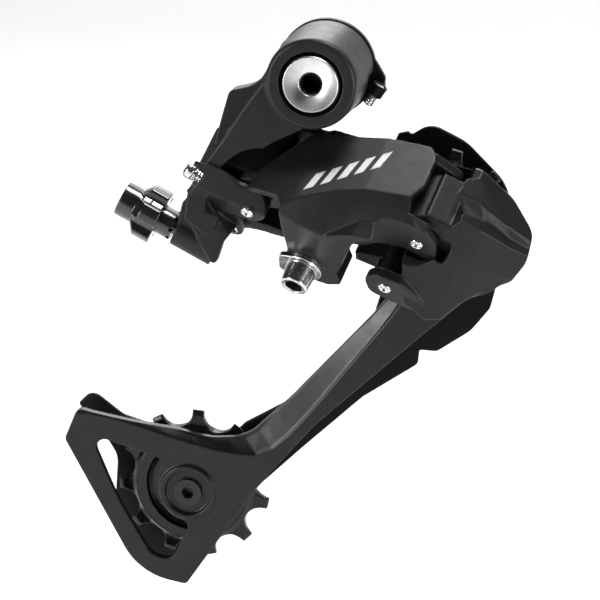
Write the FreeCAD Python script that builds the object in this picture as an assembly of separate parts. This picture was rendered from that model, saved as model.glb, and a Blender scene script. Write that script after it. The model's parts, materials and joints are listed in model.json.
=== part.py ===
import FreeCAD, Part
import math, os
from FreeCAD import Vector

os.makedirs("parts", exist_ok=True)

# ---------------------------------------------------------------- dimensions (mm)
# Frame: origin on the mounting bolt axis at the hanger face, +X forward,
# +Y inboard (towards the wheel), +Z up.

# mounting knuckle
KNUCKLE_R_FRONT = 12.0
KNUCKLE_R_BACK = 14.0
THREAD_R = 5.0
THREAD_LENGTH = 9.0
AXLE_R = 6.0
AXLE_HEAD_R = 8.3
PLATE_T = 2.3

# four-bar linkage: all four pins lie along PIN_DIR
PIN_DIR = Vector(-0.24, -0.72, -0.65).normalize()
LINK_START = Vector(-15.3, -20.2, -34.5)
LINK_VECTOR = Vector(45.85, -5.83, -10.46)
REAR_X = -2.0
LINK_OFFSET = Vector(-7.85, 11.27, -9.58)
LINK_PIN_R = 2.0
RUN_GAP = 0.05
FIX_GAP = 0.02
SCREW_GAP = 0.09

# chain cage
CAGE_AXIS = (43.4, -47.6)
CAGE_SWING = 100
STOP_R = 12.3
STOP_ANGLE = -62
STOP_PIN_R = 1.3
GUIDE = (31.0, -49.0)
TENSION = (-44.1, -136.4)
OUTER_PLATE_Y = (1.2, 3.8)
INNER_PLATE_Y = (15.4, 17.0)
PULLEY_Y = 9.6
CHAIN_PITCH = 12.7
TOOTH_ROOT_R = 19.2
TOOTH_GAP_R = 5.0
TEETH = 11
PULLEY_W = 7.0
TOOTH_W = 2.3
TOOTH_ADDENDUM = 1.76
CAGE_AXLE_R = 4.0
CAGE_BOLT_R = 2.5

# cable clamp on the outer link, in linkage coordinates
CLAMP_X = 15.5
CLAMP_Y = -15.8
HEX_5 = 5.0

# cable adjuster on the rear of the knuckle arm
ADJUSTER_DIR = Vector(0.89, 0, -0.456).normalize()
ADJUSTER_POINT = Vector(-42.6, -12.0, -47.7)
COLLAR_R = 4.5

# cross-head limit screws beside it
PAN_HEAD_H = 3.0
SPOT_FACE_R = 5.5


# ---------------------------------------------------------------- helpers
def flat_outline(corners):
    """Closed wire in the XY plane from (x, y, corner radius) triples."""
    n = len(corners)
    starts = []
    ends = []
    mids = []
    for i in range(n):
        p = Vector(corners[i][0], corners[i][1], 0)
        a = Vector(corners[i - 1][0], corners[i - 1][1], 0) - p
        b = Vector(corners[(i + 1) % n][0], corners[(i + 1) % n][1], 0) - p
        a.normalize()
        b.normalize()
        r = corners[i][2]
        half = a.getAngle(b) / 2
        if r <= 0 or half > math.pi / 2 - 0.01:
            starts.append(p)
            ends.append(p)
            mids.append(None)
            continue
        reach = r / math.tan(half)
        centre = p + (a + b).normalize() * (r / math.sin(half))
        starts.append(p + a * reach)
        ends.append(p + b * reach)
        mids.append(centre + (p - centre).normalize() * r)
    edges = []
    for i in range(n):
        if mids[i] is not None:
            edges.append(Part.Arc(starts[i], mids[i], ends[i]).toShape())
        nxt = starts[(i + 1) % n]
        if ends[i].distanceToPoint(nxt) > 1e-4:
            edges.append(Part.makeLine(ends[i], nxt))
    return Part.Wire(edges)


def slab(corners, z0, z1):
    """Prism of an outline between two heights along Z."""
    wire = flat_outline(corners)
    wire.translate(Vector(0, 0, z0))
    return Part.Face(wire).extrude(Vector(0, 0, z1 - z0))


def side_slab(corners, y0, y1):
    """Prism of an (x, z) outline between two Y planes."""
    body = slab(corners, -y1, -y0)
    body.rotate(Vector(0, 0, 0), Vector(1, 0, 0), 90)
    return body


def rod(start, end, r):
    return Part.makeCylinder(r, start.distanceToPoint(end), start, end - start)


def y_rod(x, z, y0, y1, r):
    return Part.makeCylinder(r, y1 - y0, Vector(x, y0, z), Vector(0, 1, 0))


def y_tube(x, z, y0, y1, r_out, r_in):
    return y_rod(x, z, y0, y1, r_out).cut(y_rod(x, z, y0 - 1, y1 + 1, r_in))


def cage_rod(y0, y1, r):
    """Rod on the axis that the chain cage turns about."""
    return y_rod(CAGE_AXIS[0], CAGE_AXIS[1], y0, y1, r)


def cage_tube(y0, y1, r_out, r_in):
    return y_tube(CAGE_AXIS[0], CAGE_AXIS[1], y0, y1, r_out, r_in)


def stop_rod(angle, y0, y1, r):
    """Rod at a given angle on the circle of the cage's stop pin."""
    a = math.radians(angle)
    return y_rod(CAGE_AXIS[0] + STOP_R * math.cos(a), CAGE_AXIS[1] + STOP_R * math.sin(a), y0, y1, r)


def at_pulley(centre, y0, y1, r):
    return y_rod(centre[0], centre[1], y0, y1, r)


def turned(profile):
    """Solid turned about the Y axis from (radius, y) corners."""
    pts = [Vector(r, y, 0) for r, y in profile]
    face = Part.Face(Part.makePolygon(pts + [pts[0]]))
    return face.revolve(Vector(0, 0, 0), Vector(0, 1, 0), 360)


def join(*shapes):
    whole = shapes[0].fuse(list(shapes[1:]))
    merged = whole.removeSplitter()
    return merged if merged.isValid() else whole


def hexagon(across_flats, depth):
    r = across_flats / math.sqrt(3)
    pts = [Vector(r * math.cos(a), r * math.sin(a), 0) for a in [math.pi / 3 * k for k in range(7)]]
    return Part.Face(Part.makePolygon(pts)).extrude(Vector(0, 0, depth))


def frame_matrix(origin, ex, ey, ez):
    return FreeCAD.Matrix(ex.x, ey.x, ez.x, origin.x,
                          ex.y, ey.y, ez.y, origin.y,
                          ex.z, ey.z, ez.z, origin.z,
                          0, 0, 0, 1)


def placed(shape, origin, ex, ey, ez):
    out = shape.copy()
    out.Placement = FreeCAD.Placement(frame_matrix(origin, ex, ey, ez)).multiply(out.Placement)
    return out


def along(shape, origin, direction):
    """Put a shape modelled along +Z onto a point and direction."""
    out = shape.copy()
    turn = FreeCAD.Rotation(Vector(0, 0, 1), direction)
    out.Placement = FreeCAD.Placement(origin, turn).multiply(out.Placement)
    return out


def coil(radius, wire_r, pitch, height):
    """Round-wire coil about +Z starting at z = 0, ends left square."""
    helix = Part.makeHelix(pitch, height, radius)
    ring = Part.Wire(Part.makeCircle(wire_r, Vector(radius, 0, 0), Vector(0, 1, 0)))
    return Part.Wire(helix).makePipeShell([ring], True, True)


def save(shape, name):
    shape.exportStep("parts/" + name + ".step")


# linkage frame: x along the links, y away from the wheel, z along the pins
EX = Vector(LINK_VECTOR).normalize()
EZ = (PIN_DIR - EX * PIN_DIR.dot(EX)).normalize()
EY = EZ.cross(EX)
FRONT_PIN_X = LINK_VECTOR.Length
OFF_X = LINK_OFFSET.dot(EX)
OFF_Y = LINK_OFFSET.dot(EY)
IN_X = REAR_X + OFF_X


def in_link(shape):
    """From linkage coordinates to the frame."""
    return placed(shape, LINK_START, EX, EY, EZ)


def post(x, y, z0, z1, r):
    return Part.makeCylinder(r, z1 - z0, Vector(x, y, z0))


# ---------------------------------------------------------------- mounting bolt and plate
axle = turned([(0, -26.1), (3.4, -26.1), (7.7, -27), (AXLE_HEAD_R, -26.5), (AXLE_HEAD_R, -24),
               (AXLE_R, -24), (AXLE_R, -2.4), (THREAD_R, -2.4), (THREAD_R, -1.0), (4.4, -1.0),
               (4.4, -0.2), (THREAD_R, -0.2), (THREAD_R, THREAD_LENGTH - 0.8), (4.2, THREAD_LENGTH),
               (0, THREAD_LENGTH)])
socket = along(hexagon(HEX_5, 7), Vector(0, -27.1, 0), Vector(0, 1, 0))
dish = y_rod(0, 0, -28, -25.5, 3.3)
axle = axle.cut(socket).cut(dish)
save(axle, "bracket_axle_bolt")

plate = y_rod(0, 0, -PLATE_T, 0, 14.3)
ear = side_slab([(10, 8, 2), (14.6, 2, 1), (17.2, -2.4, 1.2), (16.6, -7, 1), (14.6, -9, 0.6),
                 (8, -9, 1)], -PLATE_T, 0)
SCREW_DIR = Vector(-0.56, 0, -0.83).normalize()
SCREW_POINT = Vector(14.4, -5.6, -6.6)
lug = rod(SCREW_POINT, SCREW_POINT - SCREW_DIR * 3.6, 2.4)
lug_web = side_slab([(13.4, -7.6, 0.5), (15.2, -4.6, 0.5), (17.6, -2.6, 0.8), (16.6, -7.2, 0.5)], -5.8,
                    -0.2)
plate = join(plate, ear, lug, lug_web)
plate = plate.cut(y_rod(0, 0, -3, 1, THREAD_R + FIX_GAP)).cut(y_rod(0, 0, -1.05, 1, 7.3))
plate = plate.cut(rod(SCREW_POINT + SCREW_DIR * 2, SCREW_POINT - SCREW_DIR * 7, 1.75))
save(plate, "stopper_plate")

ring = y_tube(0, 0, -0.95, -0.25, 6.8, 4.42)
ring = ring.cut(side_slab([(-2.2, 0, 0), (2.2, 0, 0), (3.4, 9, 0), (-3.4, 9, 0)], -2, 1))
save(ring, "axle_snap_ring")

screw = rod(SCREW_POINT + SCREW_DIR * 3.4, SCREW_POINT - SCREW_DIR * 3.4, 1.7)
screw = screw.cut(along(hexagon(1.5, 2), SCREW_POINT + SCREW_DIR * 3.5, SCREW_DIR * -1))
save(screw, "b_tension_screw")

# ---------------------------------------------------------------- bracket casting
barrel = turned([(0, -27), (KNUCKLE_R_FRONT, -27), (12.9, -26.4), (13.2, -25), (KNUCKLE_R_BACK, -2.9),
                 (0, -2.9)])
arm = side_slab([(-12.4, 2, 0), (-20.6, -9.1, 30), (-26, -17.5, 40), (-31.5, -25, 10), (-36.8, -34, 3),
                 (-38, -41.6, 0.8), (-30.5, -47.3, 2), (-26.5, -38, 3), (-24.6, -31, 6),
                 (-19.7, -23.8, 10), (-12, -18.2, 30), (0, -12.3, 0), (4, 2, 0)], -23.6, -9)
back_rib = side_slab([(-11, 9, 0), (-18.7, -4.1, 8), (-27.2, -6.2, 2.4), (-29.5, -14, 12),
                      (-33.1, -27.2, 20), (-37, -36, 8), (-38.2, -42, 0.8), (-28, -46, 1), (-24, -32, 8),
                      (-12, -18, 20), (2, -12, 0)], -10.5, -4.2)
cheek = side_slab([(-30, -30, 4), (-37.6, -40, 1), (-37.4, -45, 1), (-30.4, -58, 1.2), (-27.6, -50, 3),
                   (-23, -44, 3), (-21, -34, 4)], -18, -14.6)
boss = rod(ADJUSTER_POINT, ADJUSTER_POINT + ADJUSTER_DIR * 13.2, 5.2)
boss_web = side_slab([(-40, -38, 2), (-42, -46, 2), (-32, -56, 1), (-28, -46, 2), (-30, -36, 2)], -16.2,
                     -7.5)
relief = y_tube(0, 0, -10.5, 0, 20, 13.1).common(side_slab([(0, 0, 0), (30, -1, 0), (30, -40, 0),
                                                            (11, -30, 0)], -12, 1))
stop_lug = side_slab([(-0.8, -10, 0), (-0.8, -16.2, 0.9), (3.2, -16.2, 0.9), (4.2, -10, 0)], -8.6, -2.9)
barrel = barrel.cut(relief)
casting = join(barrel, arm, back_rib, cheek, boss, boss_web, stop_lug)

# room for the two links to swing
outer_swing = in_link(post(REAR_X, 0, -29, 9, 12.8))
outer_sweep = in_link(slab([(REAR_X, -8, 0), (60, -8, 0), (60, 13, 0), (REAR_X, 13, 0)], -29, 9))
inner_swing = in_link(post(IN_X, OFF_Y, -14.3, 2.3, 6.6))
inner_sweep = in_link(slab([(IN_X, OFF_Y + 5, 0), (60, OFF_Y + 5, 0), (60, -60, 0), (IN_X + 4, -60, 0),
                            (IN_X - 4, OFF_Y - 4, 0)], -14.3, 2.3))
casting = casting.cut([outer_swing, outer_sweep, inner_swing, inner_sweep])

# rear bosses between and around the link ears
outer_boss = in_link(post(REAR_X, 0, -20.7, -3.3, 5.0))
outer_rib = in_link(slab([(REAR_X, -5, 0), (REAR_X, 5, 0), (-16, 6, 2), (-18, -8, 2)], -20.7, -3.3))
front_ear = in_link(slab([(3.2, -5.2, 5.1), (3.2, 5.2, 5.1), (-6, 5.4, 6), (-12, 9.5, 8), (-20, 9, 0),
                          (-20, -8, 0), (-12, -6.5, 5), (-8, -5.2, 5)], 0.5, 6.0))
front_ear = front_ear.common(Part.makeBox(80, 40, 80, Vector(-60, -24.9, -80)))
lower_ear = in_link(slab([(IN_X + 3.4, OFF_Y - 3.4, 3.3), (IN_X + 3.6, OFF_Y + 7, 3), (-10, 2, 2),
                          (-20, 2, 2), (-19, -10, 4), (IN_X - 3.4, OFF_Y - 3.4, 3.3)], 2.3, 5.0))
upper_ear = in_link(slab([(IN_X + 4.6, OFF_Y - 4.6, 4.5), (IN_X + 4.6, OFF_Y + 7, 3), (-6, 6, 2),
                          (-20, 2, 2), (-22, -10, 4), (IN_X - 4.6, OFF_Y - 4.6, 4.5)], -17.6, -14.3))
back_wall = in_link(slab([(-16, 2, 2), (-22, 0, 2), (-22, -18, 2.4), (-17.5, -18, 2), (-15.6, -10, 2)],
                         -17.6, 5.0))
casting = join(casting, outer_boss, outer_rib, front_ear, lower_ear, upper_ear, back_wall)
casting = casting.cut([in_link(post(REAR_X, 0, -30, -20.7, 6.2)), in_link(post(REAR_X, 0, -3.3, 0.4, 6.2))])

# bores
casting = casting.cut([y_rod(0, 0, -28, -23.4, 9.2), y_rod(0, 0, -24, -18, 7.0 + FIX_GAP),
                       y_rod(0, 0, -19.5, 0, 10.8)])
casting = casting.cut([in_link(post(REAR_X, 0, -31, 10, LINK_PIN_R + FIX_GAP)),
                       in_link(post(IN_X, OFF_Y, -31, 10, LINK_PIN_R + FIX_GAP))])
casting = casting.cut(rod(ADJUSTER_POINT - ADJUSTER_DIR, ADJUSTER_POINT + ADJUSTER_DIR * 15, 2.5 + SCREW_GAP))
collar_room = rod(ADJUSTER_POINT - ADJUSTER_DIR * 8, ADJUSTER_POINT - ADJUSTER_DIR * 0.6, COLLAR_R + 0.4)
casting = casting.cut(collar_room)
LIMIT_DIR = Vector(0.79, 0.1, -0.605).normalize()
LIMIT_HIGH = Vector(-33.2, -20.2, -30.4)
LIMIT_LOW = Vector(-33.6, -13.2, -32.9)
for point in (LIMIT_HIGH, LIMIT_LOW):
    casting = casting.cut(rod(point - LIMIT_DIR * 3.6, point + LIMIT_DIR * 20, 1.7))
    casting = casting.cut(rod(point - LIMIT_DIR * 14, point - LIMIT_DIR * 3.1, 2.8))
casting = casting.cut(rod(LIMIT_HIGH - LIMIT_DIR * 14, LIMIT_HIGH - LIMIT_DIR * 0.4, SPOT_FACE_R))
save(casting, "bracket_body")

bushing = y_tube(0, 0, -23.3, -18.2, 7.0, AXLE_R + RUN_GAP)
save(bushing, "bracket_bushing")
save(y_tube(0, 0, -3.3, -2.5, 10.6, AXLE_R + 0.1), "bracket_seal")
spring = coil(8.8, 0.9, 2.4, 11.5)
save(along(spring, Vector(0, -16.4, 0), Vector(0, 1, 0)), "bracket_spring")

pin = post(REAR_X, 0, -24.4, 7.2, LINK_PIN_R)
pin_low = post(IN_X, OFF_Y, -17.9, 5.5, LINK_PIN_R)
save(Part.makeCompound([in_link(pin), in_link(pin_low)]), "rear_pivot_pins")


def pan_screw(point, direction, shank, stand_off, head_r, shank_r):
    """Pan-head screw: the head stands off the surface point, shank runs inwards."""
    head_start = point - direction * stand_off
    head = rod(head_start - direction * PAN_HEAD_H, head_start, head_r)
    top = head_start - direction * PAN_HEAD_H
    head = head.makeFillet(0.9, [e for e in head.Edges if e.BoundBox.Center.distanceToPoint(top) < 0.1])
    body = head.fuse(rod(head_start - direction * 0.1, point + direction * shank, shank_r))
    slot_start = head_start - direction * (PAN_HEAD_H + 0.1)
    slot = along(Part.makeBox(0.9, 4.2, 1.3, Vector(-0.45, -2.1, 0)), slot_start, direction)
    cross = along(Part.makeBox(4.2, 0.9, 1.3, Vector(-2.1, -0.45, 0)), slot_start, direction)
    return body.cut([slot, cross])


save(pan_screw(LIMIT_HIGH, LIMIT_DIR, 13.5, 2.8, 2.7, 1.65), "limit_screw_high")
save(pan_screw(LIMIT_LOW, LIMIT_DIR, 9.0, 3.2, 2.5, 1.65), "limit_screw_low")

# ---------------------------------------------------------------- barrel adjuster
# modelled along +Z from the cable housing end, 0 at the housing end
KNOB_TURN = -103
knob = Part.makeCylinder(5.6, 6.5)
knob = join(knob, Part.makeCone(5.6, 6.1, 3, Vector(0, 0, 5.5)))
wings = []
for k in range(5):
    wing = slab([(0, -3.1, 0), (7.9, -2.7, 0.9), (8.5, 0, 2.0), (7.9, 2.7, 0.9), (0, 3.1, 0)], 5.2, 12.9)
    wing.rotate(Vector(0, 0, 0), Vector(0, 0, 1), 72 * k + KNOB_TURN)
    wings.append(wing)
crown = join(Part.makeCylinder(6.0, 6.4, Vector(0, 0, 6.2)), *wings)
flare = Part.makeCone(4.8, 10.4, 4.6, Vector(0, 0, 4.4)).fuse(Part.makeCylinder(10.4, 4, Vector(0, 0, 9)))
crown = crown.common(flare)
knob = join(knob, crown)
knob = knob.cut([Part.makeCylinder(2.6, 11, Vector(0, 0, -1)), Part.makeCylinder(3.2, 8, Vector(0, 0, 9))])
KNOB_START = ADJUSTER_POINT - ADJUSTER_DIR * 18.6
save(along(knob, KNOB_START, ADJUSTER_DIR), "adjuster_knob")
sleeve = Part.makeCylinder(COLLAR_R, 4.9, Vector(0, 0, 12.9))
for k in range(8):
    notch = Part.makeBox(3, 1.5, 1.3, Vector(2.9, -0.75, 16.8))
    notch.rotate(Vector(0, 0, 0), Vector(0, 0, 1), 45 * k)
    sleeve = sleeve.cut(notch)
sleeve = sleeve.fuse(Part.makeCylinder(3.1, 3.4, Vector(0, 0, 9.6)))
sleeve = sleeve.fuse(Part.makeCylinder(2.5, 13, Vector(0, 0, 17.5)))
sleeve = sleeve.cut(Part.makeCylinder(1.3, 30, Vector(0, 0, 5)))
save(along(sleeve.removeSplitter(), KNOB_START, ADJUSTER_DIR), "adjuster_barrel")

# ---------------------------------------------------------------- outer link
SKIN = 2.4


def cover_block(t):
    """Outside of the hollow outer link, every face moved inwards by t."""
    low = -40 if t == 0 else -50
    left = -12 if t == 0 else -20
    right = 60 if t == 0 else 70
    block = slab([(left, 2 - t, 0), (-1, 8.2 - t, 6), (12, 11 - t, 20), (30, 12 - t, 0), (right, 12 - t, 0),
                  (right, low, 0), (left, low, 0)], -26 + t - 20 * (t > 0), 8 - t)
    stations = [(6, 11.0, 8.0, 9.5, 9.0), (14, 11.0, 2.6, 5.0, 8.0), (22, 11.3, -2.0, 2.5, 8.0),
                (31, 12.0, -5.5, 7.0, 2.4), (44, 12.0, -7.7, 9.5, 0.0), (60, 12.0, -7.7, 9.5, 0.0)]
    wires = []
    for x, ya, za, yb, zb in stations:
        pts = [Vector(x, ya - t, za - 0.4 * t), Vector(x, yb - t, zb - 0.5 * t), Vector(x, yb + 2, 14),
               Vector(x, 20, 14), Vector(x, 20, za)]
        wires.append(Part.makePolygon(pts + [pts[0]]))
    block = block.cut(Part.makeLoft(wires, True, True))
    scoop = slab([(27.6 - t, -60, 0), (27.2 - t, -10, 10), (31 - t, 4 - t, 6), (40, 11 + t, 0),
                  (80, 14 + t, 0), (80, -60, 0)], -t, 20)
    return block.cut(scoop)


cover = cover_block(0).cut(cover_block(SKIN))
web_edge = slab([(-3.5, -3, 1), (-1.5, 3.5, 3), (8.5, 19, 4), (18, 20.7, 20), (31, 24, 20),
                 (43, 25.3, 2), (45.4, 22, 2), (45.6, 12.6, 1), (43.2, 8, 1), (44.6, 1.6, 2),
                 (52, -1, 0), (52, -10, 0), (10, -10, 0), (8, -4, 3)], 5.5, 20)
web_edge.rotate(Vector(0, 0, 0), Vector(1, 0, 0), -90)
flange_edge = slab([(8.4, 20, 0), (9.0, 1, 6), (10.4, -14, 4), (9.4, -19, 3), (14, -24.5, 4),
                    (22, -25, 1), (26.4, -22.5, 1), (25.2, -17, 2), (27.2, -11, 2), (29.9, -10.8, 4),
                    (36.3, -5.3, 8), (44.9, -4.2, 6), (50, -7.4, 2), (53, -6.6, 1.6), (53.2, 2.5, 3),
                    (50.6, 8, 2), (45.6, 10.2, 1), (44.6, 20, 0)], -3.2, 9)
cover = cover.common(web_edge.fuse(flange_edge))
ear_rear_low = slab([(-7.4, -5.4, 5.3), (-7.4, 5, 3), (-3, 7.4, 1), (12, 10, 1), (12, 4, 2),
                     (4.4, -5.4, 5.3)], -3, 0)
ear_rear_top = slab([(-7.4, -5.4, 5.3), (-7.4, 5.4, 5), (4, 6.4, 2), (20, 6.4, 1), (20, 1, 2),
                     (4.4, -5.4, 5.3)], -23.6, -21)
ear_front_top = slab([(41.9, -5.5, 5.4), (30, 8, 6), (28, 11.5, 1), (45, 11.5, 1), (52.9, 6, 4),
                      (52.9, -5.5, 5.4)], -24, -21)
rear_wall = slab([(10, 6.4, 0), (14, 9.8, 0), (24, 10, 0), (24, 2, 2), (12, 2, 0.5)], -22.6, -18)
outer_link = join(cover, ear_rear_low, ear_rear_top, ear_front_top, rear_wall)
clamp_pad = post(CLAMP_X, CLAMP_Y, 5.4, 8.6, 6.2)
outer_link = outer_link.fuse(clamp_pad).removeSplitter()
outer_link = outer_link.cut([post(REAR_X, 0, -30, 10, LINK_PIN_R + RUN_GAP),
                             post(FRONT_PIN_X, 0, -30, 10, LINK_PIN_R + RUN_GAP)])
outer_link = outer_link.cut(post(CLAMP_X, CLAMP_Y, 0, 10, 2.55))
save(in_link(outer_link), "outer_link")

# cable clamp
washer = post(CLAMP_X, CLAMP_Y, 8.7, 10.3, 6.0)
washer = washer.fuse(slab([(8, -20, 2), (8.4, -12, 2), (15, -10, 2), (15, -21.6, 2)], 8.7, 10.3))
washer = washer.cut(post(CLAMP_X, CLAMP_Y, 8, 12, 2.6)).removeSplitter()
save(in_link(washer), "cable_clamp_washer")
bolt = Part.makeCone(4.7, 4.1, 6.4, Vector(CLAMP_X, CLAMP_Y, 10.4))
bolt = bolt.fuse(post(CLAMP_X, CLAMP_Y, 2.6, 10.6, 2.5))
hexcut = hexagon(HEX_5, 4.5)
hexcut.translate(Vector(CLAMP_X, CLAMP_Y, 13))
bolt = bolt.cut(hexcut).removeSplitter()
save(in_link(bolt), "cable_clamp_bolt")

# ---------------------------------------------------------------- inner link
FRONT_X = FRONT_PIN_X + OFF_X


def inner_bar(x_end, half_end, z0, z1):
    """Waisted bar from the rear eye of the inner link to an end of its own half width."""
    return slab([(IN_X, OFF_Y + 4.1, 0), (IN_X + 8, OFF_Y + 2.3, 4), (x_end - 8, OFF_Y + 2.3, 2),
                 (x_end, OFF_Y + half_end, 0), (x_end, OFF_Y - half_end, 0), (x_end - 8, OFF_Y - 2.3, 2),
                 (IN_X + 8, OFF_Y - 2.3, 4), (IN_X, OFF_Y - 4.1, 0)], z0, z1)


inner = join(inner_bar(FRONT_X, 4.6, -14, -4), inner_bar(10, 1.6, -5, 1.6),
             post(IN_X, OFF_Y, -14, 2.0, 4.3), post(FRONT_X, OFF_Y, -4.6, 5.0, 4.8),
             post(FRONT_X, OFF_Y, -14, -12, 4.8))
inner = inner.cut([post(FRONT_X, OFF_Y, -12, -4.6, 5.6)])
inner = join(inner, slab([(FRONT_X - 12, OFF_Y + 2.3, 0), (FRONT_X, OFF_Y + 4.6, 0),
                          (FRONT_X, OFF_Y - 4.6, 0), (FRONT_X - 12, OFF_Y - 2.2, 0)], -4.4, 1.0))
inner = inner.cut([post(IN_X, OFF_Y, -20, 9, LINK_PIN_R + RUN_GAP),
                   post(FRONT_X, OFF_Y, -20, 9, LINK_PIN_R + RUN_GAP)])
save(in_link(inner), "inner_link")
link_spring = coil(3.6, 0.7, 1.7, 5.6)
link_spring.translate(Vector(FRONT_X, OFF_Y, -11.1))
save(in_link(link_spring), "link_spring")

# ---------------------------------------------------------------- lower knuckle (carries the cage)
FOLD = 50
knuckle_outline = [(29, -22, 0), (36.5, -21.6, 3), (47, -24.2, 8), (57, -32.6, 10), (62.6, -42.5, 7),
                   (61, -51, 8), (56.6, -57.2, 3), (48, -60.4, 10), (42, -64.2, 5), (37, -69, 2),
                   (32, -69.4, 1), (26, -64, 0), (26, -50, 0)]
front = side_slab(knuckle_outline, -29, -15)
rims = []
for y, dx, dz in ((-15.0, 0.0, 0.0), (-0.6, -3.4, -5.0)):
    rim = flat_outline([(px + dx, pz + dz, r) for px, pz, r in knuckle_outline])
    rim.rotate(Vector(0, 0, 0), Vector(1, 0, 0), 90)
    rim.translate(Vector(0, y, 0))
    rims.append(rim)
front = front.fuse(Part.makeLoft(rims, True, True))
KNUCKLE_BOTTOM = -69.6
front = front.cut(Part.makeBox(100, 40, 60, Vector(0, -30, KNUCKLE_BOTTOM - 60)))


def ribbed_solid(lines):
    """Closed solid of flat triangles strung between lines that run side by side, capped at both ends."""
    rows = [[Vector(*p) for p in line] for line in lines]
    rows.append(rows[0])
    faces = []
    last = len(rows[0]) - 1
    for near, far in zip(rows[:-1], rows[1:]):
        for k in range(last):
            for corners in ((near[k], near[k + 1], far[k + 1]), (near[k], far[k + 1], far[k])):
                faces.append(Part.Face(Part.makePolygon(list(corners) + [corners[0]])))
    for k in (0, last):
        hub = rows[0][k]
        for near, far in zip(rows[1:-2], rows[2:-1]):
            faces.append(Part.Face(Part.makePolygon([hub, near[k], far[k], hub])))
    solid = Part.Solid(Part.Shell(faces))
    if solid.Volume < 0:
        solid.reverse()
    return solid


# lines along the outside of the knuckle, each from the linkage to the nose
RIM_BACK = -0.6
top_back = [(24, RIM_BACK, -14), (38, RIM_BACK, -14), (46, RIM_BACK, -16), (54, RIM_BACK, -22),
            (62, RIM_BACK, -28), (70, RIM_BACK, -36)]
top_edge = [(24, -17.5, -19), (37.4, -17, -21), (43.3, -15, -22), (49.2, -13, -26), (54.6, -11, -31),
            (62, -9, -36)]
band = [(24, -21.5, -20), (38.5, -21, -22.8), (42.8, -19, -24.4), (48.2, -16, -28.5), (53.4, -14, -32.5),
        (61, -12, -38.5)]
shoulder = [(24, -26, -26), (35.9, -26, -28.7), (40.4, -25.4, -28.6), (48.6, -23, -33.1),
            (55.6, -19.2, -39.9), (64, -15.5, -46)]
dent = [(24, -27.4, -30), (34.5, -27, -32.2), (42, -26, -34.4), (49.4, -23.2, -37.7), (56, -19, -43.6),
        (64.5, -15.8, -49)]
ridge = [(24, -28.4, -33), (33.5, -28, -34.1), (42.3, -27.6, -36.5), (49.1, -25.6, -40.6),
         (56.3, -21.5, -45.6), (65, -17, -50.6)]
lower_edge = [(24, -26, -45), (37.6, -25.5, -46.5), (43, -25, -47.5), (47.3, -23, -50.2),
              (53.1, -19.5, -54.4), (62, -15, -59)]
under = [(20, -19, -69), (26, -18.5, -72), (34, -18, -74), (41, -17, -71.5), (50, -15, -67), (60, -13, -62)]
under_back = [(16, RIM_BACK, -74), (26, RIM_BACK, -78), (34, RIM_BACK, -78), (42, RIM_BACK, -76),
              (54, RIM_BACK, -70), (68, RIM_BACK, -62)]
hide = ribbed_solid([top_back, top_edge, band, shoulder, dent, ridge, lower_edge, under, under_back])
envelope = front.common(hide)
body = envelope.fuse(cage_rod(-18, RIM_BACK, 14.6))


def at_front(shape):
    """Linkage coordinates with the origin moved to the front outer pin."""
    out = shape.copy()
    out.translate(Vector(FRONT_PIN_X, 0, 0))
    return in_link(out)


def folded(shape, angle):
    out = shape.copy()
    out.rotate(Vector(0, 0, 0), Vector(0, 0, 1), -angle)
    return out


# room for the two links, all the way through their swing
EYE_R = 7.5
clear = [at_front(post(0, 0, -28, 1, 12.9).cut(post(0, 0, -20.7, -3.4, EYE_R + 0.1))
                  .common(slab([(-14, 0, 0), (0, 0, 0), (14, 13.5, 0), (-14, 13.5, 0)], -29, 2)))]
clear.append(at_front(post(0, 0, -3.4, 0.6, 9.4)))
clear.append(at_front(post(0, 0, -28, -20.7, 9.4)))
for angle in (0, 17, 34, FOLD):
    clear.append(at_front(folded(slab([(-50, 9.1, 0), (1, 9.1, 0), (1, 12.8, 0), (-50, 12.8, 0)], -28,
                                      9), angle)))
    clear.append(at_front(folded(slab([(-50, -6.4, 0), (0, -6.4, 0), (0, 12.8, 0), (-50, 12.8, 0)], -3.4,
                                      9), angle)))
    clear.append(at_front(folded(slab([(-50, -6.4, 0), (0, -6.4, 0), (0, 12.8, 0), (-50, 12.8, 0)], -28,
                                      -20.7), angle)))
clear.append(at_front(slab([(-60, -30, 0), (-6, -30, 0), (-6, 14, 0), (-60, 14, 0)], -28, 12)))
clear.append(at_front(post(OFF_X, OFF_Y, -14.3, 5.3, 7.0)))
body = body.cut(clear)
outer_eye = at_front(post(0, 0, -20.7, -6.4, EYE_R).fuse(post(0, 0, -7, -3.4, 6)))
outer_arm = at_front(slab([(-1, -8.2, 0), (1, 8.2, 0), (9, 5.4, 3), (22, 4, 0), (22, -14, 0),
                           (9, -12, 4)], -20.7, -3.4))
outer_arm = outer_arm.common(envelope.fuse(outer_eye))
lobe_outline = [(-6.3, 2.4, 4), (-5.2, -4.4, 4), (0, -5.9, 8), (8.7, -7.7, 12), (17.2, -7.8, 0.6),
                (11.3, -0.6, 14), (4.8, 5.6, 4), (-3, 6.6, 4)]
lobe = at_front(slab([(OFF_X + x, OFF_Y + y, r) for x, y, r in lobe_outline], 5.3, 8.5))
lobe_root = at_front(slab([(OFF_X + 4, OFF_Y - 6.5, 1), (OFF_X + 17, OFF_Y - 7.4, 1),
                           (OFF_X + 22, OFF_Y + 5, 0), (OFF_X + 6, OFF_Y + 5, 1)], 5.3, 8.5)).common(envelope)
lobe_wall = at_front(slab([(OFF_X + 7.2, OFF_Y - 7, 1), (OFF_X + 20, OFF_Y - 9, 2),
                           (OFF_X + 22, OFF_Y + 12, 0), (OFF_X + 10, OFF_Y + 8, 3)], -14, 8.5)).common(envelope)
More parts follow.
